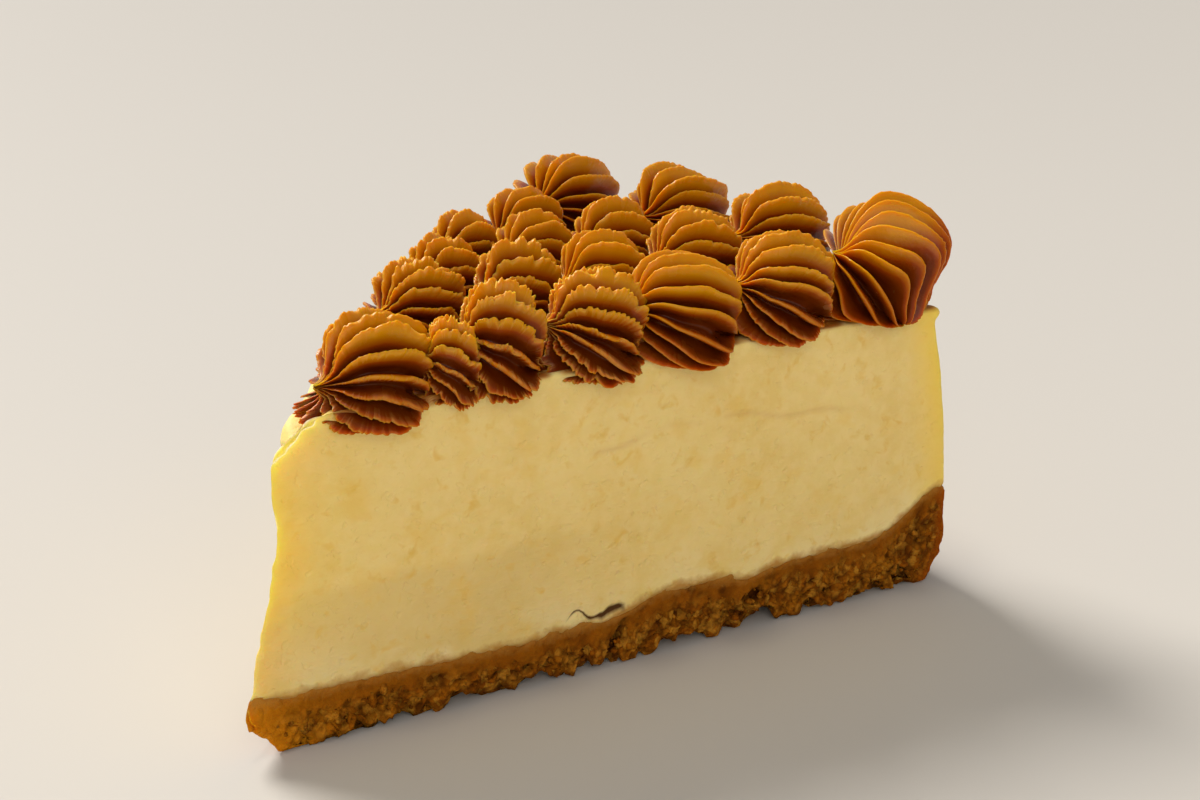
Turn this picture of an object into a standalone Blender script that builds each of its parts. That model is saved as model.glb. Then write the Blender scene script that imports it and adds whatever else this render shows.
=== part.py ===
"""One slice of a baked cheesecake, an eighth of a round cake, lying on its crumb base.

The slice points along -X: its tip is the middle of the cake and its curved rim is at +X. A pressed
biscuit crumb base climbs a little way up the rim, the pale filling stands in it, and caramel shells,
piped through a star nozzle, sit on top in rings round the middle of the cake.
"""

import math
from itertools import product

import bmesh
import bpy
import numpy as np
from mathutils import Vector

MM = 0.001

# The whole cake and the slice cut from it
SLICE_ANGLE = math.radians(45)
CAKE_RADIUS = 117.5 * MM
TIP_X = -58.4 * MM
FILLING_TOP = 47.0 * MM

# The tin's bottom corner is rounded, and above the crumb lip the filling shrank from the wall
TIN_CORNER_HEIGHT = 9.0 * MM
TIN_CORNER_INSET = 3.6 * MM
CRUMB_LIP_HEIGHT = 14.0 * MM
RIM_SHRINK = 4.9 * MM

# The crumb base, thin near the tip, thicker in its outer half, climbing the wall of the tin
BASE_THICKNESS = 7.9 * MM
BASE_OUTER_RISE = 1.9 * MM
BASE_LIP_RISE = 6.6 * MM
CRUMB_SIZE = 3.4 * MM
CRUMB_DEPTH = 1.0 * MM
CRUMB_UNDERCUT = 1.6 * MM

# Food that touches keeps this gap, and base and filling share one grid, so that they never cross
GAP = 0.3 * MM
CUTS_ALONG = 51
CUTS_ACROSS = 4

# A piped shell's shape, in half widths. Its tail and its foot are given as directions from the
# middle of the bulge, in degrees above the way the shell faces
RIDGES = 14
RIDGE_DEPTH = 0.30
BULGE_HEIGHT = 0.62
TAIL_STRETCH = 1.18
TAIL_DIRECTION = math.radians(172)
FOOT_DIRECTION = math.radians(-78)

# The shells: distance from the tip in mm, bearing in degrees from the slice's middle line, half
# width and height in mm, and how far the foot sags below the filling's top, in mm
SHELLS = (
    (22.0, -5.5, 9.7, 15.2, 3.2),
    (31.4, -17.4, 5.0, 12.4, 1.8),
    (39.4, -16.0, 7.6, 15.9, 1.8),
    (54.4, -16.9, 8.9, 15.4, 2.0),
    (69.6, -17.2, 10.0, 15.1, 1.6),
    (87.2, -18.0, 9.9, 16.0, 1.4),
    (106.6, -17.8, 11.8, 18.0, 1.4),
    (39.0, 9.0, 8.8, 14.8, 0.5),
    (52.6, -0.8, 8.2, 15.4, 0.5),
    (66.0, -5.2, 8.4, 15.0, 0.5),
    (84.0, -7.0, 9.4, 15.6, 0.5),
    (54.5, 14.6, 7.6, 14.4, 0.8),
    (70.5, 8.8, 8.0, 15.0, 0.5),
    (69.5, 18.4, 7.8, 14.4, 0.8),
    (86.5, 16.6, 9.2, 14.8, 0.8),
    (107.0, 17.2, 11.4, 17.0, 0.8),
    (83.5, 4.0, 8.8, 15.0, 0.5),
    (107.6, 5.6, 11.0, 16.2, 0.5),
    (106.0, -6.0, 10.6, 15.8, 0.5),
)

HALF_ANGLE = SLICE_ANGLE / 2

# Colours as linear values
FILLING_COLOUR = (0.66, 0.47, 0.17, 1)
CRUMB_COLOUR = (0.22, 0.10, 0.025, 1)
CARAMEL_COLOUR = (0.36, 0.13, 0.014, 1)


def clear_scene():
    for old in list(bpy.data.objects):
        bpy.data.objects.remove(old, do_unlink=True)


def material(name, colour, roughness):
    made = bpy.data.materials.new(name)
    made.use_nodes = True
    shader = made.node_tree.nodes["Principled BSDF"]
    shader.inputs["Base Color"].default_value = colour
    shader.inputs["Roughness"].default_value = roughness
    shader.inputs["Metallic"].default_value = 0
    return made


def lattice_noise(points, size, seed):
    """Smooth noise from -1 to 1: a random value at each corner of a cubic lattice, blended between."""
    place = points / size
    corner = np.floor(place).astype(np.int64)
    along = place - corner
    along = along * along * (3 - 2 * along)
    total = np.zeros(len(points))
    for step in product((0, 1), repeat=3):
        at = corner + step
        mixed = at[:, 0] * 73856093 ^ at[:, 1] * 19349663 ^ at[:, 2] * 83492791 ^ seed * 2654435
        mixed = (mixed & 0xFFFFFFFF) * 1103515245 + 12345
        mixed = (mixed >> 7 ^ mixed >> 16) & 0xFFFF
        weight = np.prod(np.where(step, along, 1 - along), axis=1)
        total += weight * (mixed / 32767.5 - 1)
    return total


def smooth_step(x, low, high):
    t = np.clip((x - low) / (high - low), 0, 1)
    return t * t * (3 - 2 * t)


def tip_retreat(z, across):
    """How far the thin cut tip stands back from the middle of the cake, at each height.

    The tip leans back as it rises, and it has given way more on the back cut face than on the front.
    """
    undercut = 2.6 * MM * (1 - smooth_step(z, 0, 4.5 * MM))
    crust_nose = -0.9 * MM * np.exp(-(((z - 6.6 * MM) / (2.6 * MM)) ** 2))
    lean = 4.3 * MM * smooth_step(z, 7.5 * MM, 36 * MM)
    soft_waves = 0.4 * MM * np.sin(z / (3.6 * MM) - 1.1) * smooth_step(z, 12 * MM, 20 * MM)
    broken_corner = 4.8 * MM * smooth_step(z, 42 * MM, 47 * MM)
    front = 0.4 * MM + undercut + crust_nose + lean + soft_waves + broken_corner
    return front * (1 + 2.1 * across)


def rim_radius(z):
    """The outer wall: round at the tin's bottom corner, then leaning in above the crumb lip."""
    corner = TIN_CORNER_INSET * np.clip(1 - z / TIN_CORNER_HEIGHT, 0, 1) ** 2.2
    climb = (z - CRUMB_LIP_HEIGHT) / (FILLING_TOP - CRUMB_LIP_HEIGHT)
    shrink = RIM_SHRINK * np.clip(climb, 0, 1) ** 1.5
    return CAKE_RADIUS - corner - shrink


def base_top(share):
    """Height of the crumb base's upper face, by the share of the way from the tip to the rim."""
    dip = -0.8 * MM * np.exp(-(((share - 0.36) / 0.12) ** 2))
    outer = BASE_OUTER_RISE * smooth_step(share, 0.47, 0.55)
    notch = -1.2 * MM * np.exp(-(((share - 0.67) / 0.035) ** 2))
    lip = BASE_LIP_RISE * smooth_step(share, 0.86, 1.0) ** 1.2
    return BASE_THICKNESS + dip + outer + notch + lip


def block(cuts_up):
    """A unit box from 0 to 1, cut into a grid along each of its three directions."""
    bm = bmesh.new()
    bmesh.ops.create_cube(bm, size=1)
    bmesh.ops.translate(bm, verts=bm.verts, vec=(0.5, 0.5, 0.5))
    for axis, cuts in enumerate((CUTS_ALONG, CUTS_ACROSS, cuts_up)):
        edges = [e for e in bm.edges if abs(e.verts[0].co[axis] - e.verts[1].co[axis]) > 1e-4]
        bmesh.ops.subdivide_edges(bm, edges=edges, cuts=cuts, use_grid_fill=True)
    return bm


def moved(bm, place):
    """Moves every point of the mesh by one function of all the points."""
    bm.verts.ensure_lookup_table()
    points = place(np.array([v.co[:] for v in bm.verts]))
    for vert, point in zip(bm.verts, points):
        vert.co = point
    return bm


def wedge_places(share, across, z):
    """Points of the slice from their share of the way out, their share across it and their height."""
    inner = tip_retreat(z, across)
    distance = inner + share * (rim_radius(z) - inner)
    bearing = (2 * across - 1) * HALF_ANGLE
    return np.stack([TIP_X + distance * np.cos(bearing), distance * np.sin(bearing), z], axis=1)


def cut_face_side(across):
    """-1 on the front cut face, 1 on the back one, 0 between."""
    return np.where(across < 1e-4, -1.0, np.where(across > 1 - 1e-4, 1.0, 0.0))


def push_from_faces(points, across, depth):
    """Moves the points of the two cut faces square to them, out by depth."""
    side = cut_face_side(across)
    points[:, 0] -= depth * np.abs(side) * math.sin(HALF_ANGLE)
    points[:, 1] += depth * side * math.cos(HALF_ANGLE)
    return points


def base_places(grid):
    share, across, up = grid.T
    top = base_top(share) - GAP / 2
    points = wedge_places(share, across, up * top)
    lumps = lattice_noise(points, CRUMB_SIZE, 3)
    lower = 1 - up
    points = push_from_faces(points, across, CRUMB_DEPTH * (lumps * (0.35 + lower) - 0.3))
    at_edge = (np.abs(cut_face_side(across)) > 0) & (up < 1e-4)
    lift = CRUMB_UNDERCUT * np.clip(lattice_noise(points, 2 * CRUMB_SIZE, 8) + 0.25, 0, 1)
    points[:, 2] += np.where(at_edge, lift, 0)
    return points


def filling_places(grid):
    share, across, up = grid.T
    floor = base_top(share) + GAP / 2
    points = wedge_places(share, across, floor + up * (FILLING_TOP - floor))
    swell = lattice_noise(points, 16 * MM, 5) * 0.35 * MM
    return push_from_faces(points, across, swell)


def shell_places(sphere):
    """A ball's points moved onto a piped shell of half width 1: meridians become ridges and grooves.

    The shell is a round dollop. Its ridges leave the foot under it, pass over its outer end and meet
    again at the tail, half way up its inner end. So the ball's two poles go to the foot and the tail,
    and each meridian lies in a plane hinged on the line between them.
    """
    tail = np.array([math.cos(TAIL_DIRECTION), 0, math.sin(TAIL_DIRECTION)])
    foot = np.array([math.cos(FOOT_DIRECTION), 0, math.sin(FOOT_DIRECTION)])
    hinge = (tail + foot) / 2
    along = (tail - foot) / np.linalg.norm(tail - foot)
    outward = -hinge / np.linalg.norm(hinge)
    rays = sphere @ np.array([outward, np.cross(along, outward), along])
    toward = rays @ hinge
    reach = np.sqrt(toward**2 + 1 - hinge @ hinge) - toward
    turn = np.arctan2(sphere[:, 1], sphere[:, 0])
    groove = RIDGE_DEPTH * (1 - np.cos(RIDGES * turn)) / 2
    points = hinge + rays * (reach * (1 - groove * (1 - np.abs(sphere[:, 2]) ** 3)))[:, None]
    slumped = -BULGE_HEIGHT * np.tanh(-points[:, 2] / BULGE_HEIGHT)
    points[:, 2] = np.where(points[:, 2] < 0, slumped, points[:, 2])
    points[:, 0] *= np.where(points[:, 0] < 0, TAIL_STRETCH, 1)
    return points


def shell_spots():
    """Every shell's place on the filling: centre, heading away from the tip, half width, height."""
    spots = []
    for distance, bearing, half_width, height, sag in SHELLS:
        heading = math.radians(bearing)
        centre = (
            TIP_X + distance * MM * math.cos(heading),
            distance * MM * math.sin(heading),
            FILLING_TOP - sag * MM,
        )
        spots.append(
            {
                "centre": Vector(centre),
                "heading": heading,
                "half_width": half_width * MM,
                "height": height * MM,
            }
        )
    return spots


def trim_at_neighbours(bm, spot, spots):
    """Two shells that press together are cut flat between them, with the gap left open."""
    for other in spots:
        between = other["centre"] - spot["centre"]
        between.z = 0
        reach = spot["half_width"] + other["half_width"]
        if other is spot or between.length > TAIL_STRETCH * reach:
            continue
        share = spot["half_width"] / reach
        cut_at = between * share - between.normalized() * GAP / 2
        geometry = bm.verts[:] + bm.edges[:] + bm.faces[:]
        bmesh.ops.bisect_plane(
            bm, geom=geometry, plane_co=cut_at, plane_no=between, clear_outer=True, dist=1e-6
        )
        open_edges = [e for e in bm.edges if e.is_boundary]
        bmesh.ops.holes_fill(bm, edges=open_edges, sides=0)
    return bm


def caramel_shell(spot, spots):
    bm = bmesh.new()
    bmesh.ops.create_uvsphere(bm, u_segments=2 * RIDGES, v_segments=9, radius=1)
    moved(bm, shell_places)
    heading = spot["heading"]
    half_width = spot["half_width"]
    stretch = spot["height"] / (half_width * (1 + BULGE_HEIGHT))
    for vert in bm.verts:
        x, y, z = vert.co
        vert.co = (
            half_width * (x * math.cos(heading) - y * math.sin(heading)),
            half_width * (x * math.sin(heading) + y * math.cos(heading)),
            half_width * stretch * (z + BULGE_HEIGHT),
        )
    return trim_at_neighbours(bm, spot, spots)


def finished(name, bm, look, collection, smooth_angle=None):
    bmesh.ops.recalc_face_normals(bm, faces=bm.faces)
    bmesh.ops.triangulate(bm, faces=bm.faces)
    mesh = bpy.data.meshes.new(name)
    bm.to_mesh(mesh)
    bm.free()
    made = bpy.data.objects.new(name, mesh)
    collection.objects.link(made)
    if look:
        mesh.materials.append(look)
    if smooth_angle:
        mesh.shade_smooth()
        mesh.set_sharp_from_angle(angle=smooth_angle)
    return made


def filling_clearance(collection):
    """The filling's shape grown by the gap, which keeps the caramel clear of it."""

    def grown(grid):
        points = filling_places(grid)
        points = push_from_faces(points, grid[:, 1], GAP)
        points[:, 2] += np.where(grid[:, 2] > 1 - 1e-4, GAP, 0)
        return points

    cutter = finished("filling_clearance", moved(block(7), grown), None, collection)
    cutter.hide_render = True
    cutter.display_type = "WIRE"
    return cutter


def main():
    clear_scene()
    slice_parts = bpy.data.collections.new("cheesecake_slice")
    cutters = bpy.data.collections.new("cutters")
    for collection in (slice_parts, cutters):
        bpy.context.scene.collection.children.link(collection)

    filling_look = material("baked_filling", FILLING_COLOUR, 0.45)
    crumb_look = material("biscuit_crumb", CRUMB_COLOUR, 0.8)
    caramel_look = material("piped_caramel", CARAMEL_COLOUR, 0.3)

    finished("crumb_base", moved(block(4), base_places), crumb_look, slice_parts)
    finished(
        "cheesecake_filling",
        moved(block(7), filling_places),
        filling_look,
        slice_parts,
        smooth_angle=math.radians(40),
    )
    clearance = filling_clearance(cutters)
    spots = shell_spots()
    for number, spot in enumerate(spots, start=1):
        shell = finished(
            f"caramel_shell_{number:02d}",
            caramel_shell(spot, spots),
            caramel_look,
            slice_parts,
            smooth_angle=math.radians(50),
        )
        shell.location = spot["centre"]
        trim = shell.modifiers.new("clear_of_filling", "BOOLEAN")
        trim.operation = "DIFFERENCE"
        trim.object = clearance


main()
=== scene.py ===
# %% [markdown]
# # A slice of caramel cheesecake
# The slice is an eighth of a round cake: a pressed biscuit crumb base, a tall pale filling and
# nineteen caramel shells piped on top. The solid model fixes where everything is. Here each skin is
# worked out again as a fine surface from a formula, so that it can be crumbly, silky or ridged.

# %% Load the solid model
from itertools import product

import bpy
import numpy as np
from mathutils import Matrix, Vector


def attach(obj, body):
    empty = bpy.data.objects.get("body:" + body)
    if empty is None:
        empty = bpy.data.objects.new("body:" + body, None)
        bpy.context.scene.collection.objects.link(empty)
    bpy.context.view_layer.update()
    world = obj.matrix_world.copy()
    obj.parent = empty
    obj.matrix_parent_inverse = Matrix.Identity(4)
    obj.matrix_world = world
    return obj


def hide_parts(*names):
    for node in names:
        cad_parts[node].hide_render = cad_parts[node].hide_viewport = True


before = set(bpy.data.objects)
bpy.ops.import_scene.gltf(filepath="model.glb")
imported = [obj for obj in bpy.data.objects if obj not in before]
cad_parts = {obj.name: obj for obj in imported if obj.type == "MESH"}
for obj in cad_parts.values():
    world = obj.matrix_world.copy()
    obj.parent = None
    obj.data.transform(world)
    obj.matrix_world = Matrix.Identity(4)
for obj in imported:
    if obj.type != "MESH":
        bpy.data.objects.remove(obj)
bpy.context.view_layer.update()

print("nodes in the solid model:", len(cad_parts))

# %% [markdown]
# ## The slice's plan
# A wedge is easiest to describe by three shares: how far out a point is between the tip and the rim,
# how far across between the two cut faces, and its height. The tip isn't a perfect point, because a
# knife drags soft cheese along: it leans back as it rises. The rim is rounded below, where it lay in
# the corner of the tin, and it leans in above, where the filling shrank. These are the solid model's
# own formulas, so every new skin starts exactly on it, before its relief.

# %% Plan of the wedge
MM = 0.001
HALF_ANGLE = np.radians(22.5)
TIP_X = -58.4 * MM
CAKE_RADIUS = 117.5 * MM
FILLING_TOP = 47.0 * MM
CUT_SPAN = 115  # mm along a cut face, from the tip to the rim


def smooth_step(x, low, high):
    """0 below low, 1 above high, and 3t^2 - 2t^3 between them."""
    t = np.clip((x - low) / (high - low), 0, 1)
    return t * t * (3 - 2 * t)


def bell(x, middle, width):
    """1 at the middle, falling on both sides: exp(-((x - middle) / width)^2)."""
    return np.exp(-(((x - middle) / width) ** 2))


def tip_retreat(z, across):
    """How far the cut tip stands back from the cake's middle: steps, a bell and a wave in z, summed."""
    undercut = 2.6 * MM * (1 - smooth_step(z, 0, 4.5 * MM))
    nose = -0.9 * MM * bell(z, 6.6 * MM, 2.6 * MM)
    lean = 4.3 * MM * smooth_step(z, 7.5 * MM, 36 * MM)
    waves = 0.4 * MM * np.sin(z / (3.6 * MM) - 1.1) * smooth_step(z, 12 * MM, 20 * MM)
    broken_corner = 4.8 * MM * smooth_step(z, 42 * MM, 47 * MM)
    return (0.4 * MM + undercut + nose + lean + waves + broken_corner) * (1 + 2.1 * across)


def rim_radius(z):
    """The rim: a power curve in at the bottom corner, and another in above the crumb lip."""
    corner = 3.6 * MM * np.clip(1 - z / (9 * MM), 0, 1) ** 2.2
    shrink = 4.9 * MM * np.clip((z - 14 * MM) / (33 * MM), 0, 1) ** 1.5
    return CAKE_RADIUS - corner - shrink


def base_top(share):
    """Height of the crumb base: level, plus a dip, a step, a notch and the lip at the rim."""
    dip = -0.8 * MM * bell(share, 0.36, 0.12)
    outer = 1.9 * MM * smooth_step(share, 0.47, 0.55)
    notch = -1.2 * MM * bell(share, 0.67, 0.035)
    lip = 6.6 * MM * smooth_step(share, 0.86, 1.0) ** 1.2
    return 7.9 * MM + dip + outer + notch + lip


def wedge_places(share, across, z):
    """Shares and height to x, y, z: a distance from the cake's middle, turned to a bearing."""
    inner = tip_retreat(z, across)
    distance = inner + share * (rim_radius(z) - inner)
    bearing = (2 * across - 1) * HALF_ANGLE
    return np.stack([TIP_X + distance * np.cos(bearing), distance * np.sin(bearing), z], axis=-1)


print("top of the rim:", round(rim_radius(FILLING_TOP) / MM, 1), "mm from the cake's middle")

# %% [markdown]
# ## Two kinds of unevenness
# Soft things swell and dip gently, and that is lattice noise: a random number at every corner of a
# grid, blended between. Broken things are lumpy with sharp creases, and that is cell noise: the
# distance to the nearest of many scattered points. Both work on whole arrays at once.

# %% Noise


def scramble(cell, seed):
    """A repeatable number from 0 to 1 for each cell (x, y, z): large primes, mixed by exclusive or."""
    mixed = cell[..., 0] * 73856093 ^ cell[..., 1] * 19349663 ^ cell[..., 2] * 83492791
    mixed = ((mixed ^ seed * 2654435) & 0xFFFFFFFF) * 1103515245 + 12345
    return ((mixed >> 7 ^ mixed >> 16) & 0xFFFF) / 65535


def swells(points, size, seed):
    """Lattice noise from -1 to 1: eight corner values, weighted by the smooth step of each axis."""
    place = points / size
    cell = np.floor(place).astype(np.int64)
    t = place - cell
    t = t * t * (3 - 2 * t)
    total = np.zeros(points.shape[:-1])
    for step in product((0, 1), repeat=3):
        weight = np.prod(np.where(step, t, 1 - t), axis=-1)
        total += weight * (2 * scramble(cell + step, seed) - 1)
    return total


def lumps(points, size, seed):
    """Cell noise: 1 less the distance to the nearest point, with one random point in every cell."""
    place = points / size
    cell = np.floor(place).astype(np.int64)
    nearest = np.full(points.shape[:-1], 9.0)
    for step in product((-1, 0, 1), repeat=3):
        at = cell + step
        middle = at + np.stack([scramble(at, seed + k) for k in range(3)], axis=-1)
        nearest = np.minimum(nearest, ((place - middle) ** 2).sum(axis=-1))
    return 1 - np.sqrt(nearest)


probe = np.random.default_rng(1).uniform(0, 1, (2000, 3))
print("swells from", swells(probe, 0.1, 1).min().round(2), "to", swells(probe, 0.1, 1).max().round(2))

# %% [markdown]
# ## From a grid of points to a mesh
# Every skin here is a closed tube of rings: the columns go round and join up, and the first and last
# ring shrink to one point. So the same helpers can make them all. They weld the two ends, make two
# triangles from each cell, and turn them outwards if their volume comes out negative.

# %% Mesh from rings


def ring_faces(rings, columns):
    """Triangles of a tube whose end rings are one point: each cell a, b, c, d gives abc and acd."""
    index = np.arange(rings * columns).reshape(rings, columns)
    index[0] = 0
    index[-1] = index[-1, 0]
    a, b = index[:-1], index[1:]
    c, d = np.roll(b, -1, axis=1), np.roll(a, -1, axis=1)
    faces = np.concatenate([np.stack([a, b, c], -1), np.stack([a, c, d], -1)]).reshape(-1, 3)
    whole = (faces[:, 0] != faces[:, 1]) & (faces[:, 1] != faces[:, 2]) & (faces[:, 2] != faces[:, 0])
    return faces[whole]


def mesh_object(name, points, faces, values=None):
    """A smooth mesh object from arrays of points and triangles, with named numbers at each point.

    The sum of a . (b x c) over the triangles is six times the volume, so below 0 all are turned.
    """
    corners = points[faces]
    if np.einsum("ij,ij->i", corners[:, 0], np.cross(corners[:, 1], corners[:, 2])).sum() < 0:
        faces = faces[:, ::-1]
    used, faces = np.unique(faces, return_inverse=True)
    faces = faces.reshape(-1, 3)
    mesh = bpy.data.meshes.new(name)
    mesh.vertices.add(len(used))
    mesh.vertices.foreach_set("co", points[used].astype(np.float32).ravel())
    mesh.loops.add(faces.size)
    mesh.loops.foreach_set("vertex_index", faces.astype(np.int32).ravel())
    mesh.polygons.add(len(faces))
    mesh.polygons.foreach_set("loop_start", np.arange(0, faces.size, 3, dtype=np.int32))
    for key, numbers in (values or {}).items():
        stored = mesh.attributes.new(key, "FLOAT", "POINT")
        stored.data.foreach_set("value", numbers.ravel()[used].astype(np.float32))
    mesh.update(calc_edges=True)
    mesh.validate()
    mesh.shade_smooth()
    made = bpy.data.objects.new(name, mesh)
    bpy.context.scene.collection.objects.link(made)
    print(name, len(faces), "triangles")
    return made


def skin_object(name, points, values=None):
    """A closed skin from a (rings, columns, 3) array."""
    faces = ring_faces(*points.shape[:2])
    return mesh_object(name, points.reshape(-1, 3), faces, values)


def outward(points):
    """Unit normals of a ring skin: the cross product of its steps along and round the grid."""
    round_it = np.roll(points, -1, axis=1) - np.roll(points, 1, axis=1)
    along_it = np.gradient(points, axis=0)
    normal = np.cross(round_it, along_it)
    length = np.linalg.norm(normal, axis=-1, keepdims=True)
    return normal / np.maximum(length, 1e-12)


print("a tube of 3 rings of 4 has", len(ring_faces(3, 4)), "triangles")

# %% [markdown]
# ## A skin for a wedge
# Filling and base are both wedges, and each needs one unbroken skin. I go round the outline, along
# the front cut, round the rim, back along the far cut and across the tip. Each stop is a column that
# starts in the middle of the underside, runs out to the edge, climbs the wall and comes back to the
# middle of the top. A few rounds of averaging then take the razor edge off the corners, as on
# anything soft that was cut with a knife.

# %% Wedge skin
# These lengths only say how many stops each side gets, so round numbers do.
CUT_LENGTH, RIM_LENGTH, TIP_STOPS = 112 * MM, 92 * MM, 10
CAP_SHARE, CAP_ACROSS = 0.62, 0.5


def outline(step):
    """(share, across) of stops about step apart: four sides of the unit square, one after another."""
    out = np.linspace(0, 1, int(CUT_LENGTH / step), endpoint=False)
    over = np.linspace(0, 1, int(RIM_LENGTH / step), endpoint=False)
    tip = np.linspace(0, 1, TIP_STOPS, endpoint=False)
    share = np.concatenate([out, np.ones_like(over), 1 - out, np.zeros_like(tip)])
    across = np.concatenate([np.zeros_like(out), over, np.ones_like(out), 1 - tip])
    return share, across


def wedge_skin(step, floor, top, wall_rings, cap_rings, rounds):
    """A wedge's skin: points, share, across, height share and cover of each.

    Cover is 0 on the wall and climbs to 1 in the middle of each cap by a power curve, and share and
    across go with it to the cap's middle. Height runs evenly from floor to top. A round of
    averaging gives each point half of itself and a quarter of each neighbour, both ways.
    """
    share, across = outline(step)
    inward = np.linspace(1, 0, cap_rings, endpoint=False) ** 1.9
    wall = np.linspace(0, 1, wall_rings)
    cover = np.concatenate([inward, np.zeros(wall_rings), inward[::-1]])[:, None]
    up = np.concatenate([np.zeros(cap_rings), wall, np.ones(cap_rings)])[:, None]
    share = share + cover * (CAP_SHARE - share)
    across = across + cover * (CAP_ACROSS - across)
    z = floor(share) + up * (top(share) - floor(share))
    points = wedge_places(share, across, z)
    for _ in range(rounds):
        points = (np.roll(points, 1, axis=1) + 2 * points + np.roll(points, -1, axis=1)) / 4
        points[1:-1] = (points[:-2] + 2 * points[1:-1] + points[2:]) / 4
    return points, share, across, up + 0 * share, cover + 0 * share


def cut_face(share, across, cover):
    """1 on the two cut faces and the tip, fading to 0 at the rim and on the caps."""
    return (1 - smooth_step(share, 0.985, 1.0) * (across * (1 - across) > 1e-6)) * (cover == 0)


print("stops round a wedge, 1 mm apart:", len(outline(1 * MM)[0]))

# %% [markdown]
# ## The shells' plan
# Each shell is piped with a star nozzle: squeeze out a round dollop, then pull away towards the
# middle of the cake. The list gives each one's distance from the tip in millimetres and bearing in
# degrees, then its half width, its height and how far it sinks, in millimetres, then how torn its
# ridges are, and last how far it stands up, from 0 lying to 1 standing. Thick caramel tears on the
# nozzle's teeth, most of all near the tip. The last shell in front was squeezed out standing.

# %% Shell places
SHELLS = (
    (22.0, -5.5, 9.7, 15.2, 3.2, 0.5, 0.0),
    (31.4, -17.4, 5.0, 12.4, 1.8, 1.0, 0.0),
    (39.4, -16.0, 7.6, 15.9, 1.8, 1.0, 0.0),
    (54.4, -16.9, 8.9, 15.4, 2.0, 1.0, 0.0),
    (69.0, -17.2, 10.3, 15.1, 1.6, 0.15, 0.0),
    (87.2, -18.0, 9.9, 16.0, 1.4, 0.35, 0.15),
    (106.6, -18.5, 11.8, 18.4, 1.6, 0.0, 1.0),
    (39.0, 9.0, 8.8, 14.8, 0.5, 0.7, 0.0),
    (52.6, -0.8, 8.2, 15.4, 0.5, 0.7, 0.0),
    (66.0, -5.2, 8.4, 15.0, 0.5, 0.3, 0.0),
    (84.0, -7.0, 9.4, 15.6, 0.5, 0.4, 0.0),
    (54.5, 14.6, 7.6, 14.4, 0.8, 0.5, 0.0),
    (70.5, 8.8, 8.0, 15.0, 0.5, 0.3, 0.0),
    (69.5, 18.4, 7.8, 14.4, 0.8, 0.4, 0.0),
    (86.5, 16.6, 9.2, 14.8, 0.8, 0.2, 0.0),
    (107.0, 17.2, 11.4, 17.0, 0.8, 0.2, 0.0),
    (83.5, 4.0, 8.8, 15.0, 0.5, 0.3, 0.0),
    (107.6, 5.6, 11.0, 16.2, 0.5, 0.2, 0.0),
    (106.0, -6.0, 10.6, 15.8, 0.5, 0.3, 0.0),
)
shell_plan = np.array(SHELLS)
shell_bearings = np.radians(shell_plan[:, 1])
shell_middles = np.stack(
    [
        TIP_X + shell_plan[:, 0] * MM * np.cos(shell_bearings),
        shell_plan[:, 0] * MM * np.sin(shell_bearings),
    ],
    axis=1,
)
print(len(SHELLS), "shells, half widths", shell_plan[:, 2].min(), "to", shell_plan[:, 2].max(), "mm")

# %% [markdown]
# ## The filling
# Baked cream cheese cuts to a silky face with the faintest swells, where the knife pushed it about.
# A displacement modifier could do this, but worked out here, each mark lies just where the real one
# does, and its place can be handed on to the material as a number. First comes the bare wedge, with
# its foot tucked behind the base, and the measures in millimetres that place every mark.

# %% Filling wedge
points, share, across, up, cover = wedge_skin(
    0.42 * MM,
    lambda s: base_top(s) - 2.2 * MM,
    lambda s: FILLING_TOP + 0 * s,
    wall_rings=86,
    cap_rings=14,
    rounds=5,
)
normals = outward(points)
along = share * CUT_SPAN
height = points[..., 2] / MM
above_base = (points[..., 2] - base_top(share)) / MM
front = (across < 1e-6) * (cover == 0)
wall = smooth_step(1 - cover, 0.97, 1.0)
print("filling grid:", points.shape[0], "rings of", points.shape[1])

# %% [markdown]
# Broad swells and fine ones make the face. One thin wavy crease runs along the front, where the
# blade paused. At the tip the face has dragged and torn a little.

# %% Swells, tip and crease
relief = 0.35 * swells(points, 16 * MM, 5) * wall
relief += 0.10 * swells(points * (1, 1, 1.6), 5 * MM, 11) + 0.05 * swells(points, 2.2 * MM, 12)
tip_tear = (1 - smooth_step(along, 0.5, 7.0)) * wall
relief += 0.55 * tip_tear * swells(points, 3.4 * MM, 21) + 0.3 * tip_tear * swells(points, 1.5 * MM, 22)
crease_height = 34.6 + 1.3 * np.sin(along / 9.0 + 0.4) + 0.35 * np.sin(along / 2.3)
crease_reach = smooth_step(along, 44, 52) * (1 - smooth_step(along, 92, 104))
crease = bell(height, crease_height, 0.42) * crease_reach * front
crease *= smooth_step(swells(points, 7 * MM, 14), -0.5, 0.4)
relief -= 0.20 * crease
print("swells and tears from", relief.min().round(2), "to", relief.max().round(2), "mm")

# %% [markdown]
# Low on the front a small crack opens above the base, in two arches. The foot of the wall slips in
# behind the base. The tip's face is hollow at the top, where a corner broke off, with a burr of
# dragged cream further down, and a flake of baked skin stands off the rim's near corner.

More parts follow.
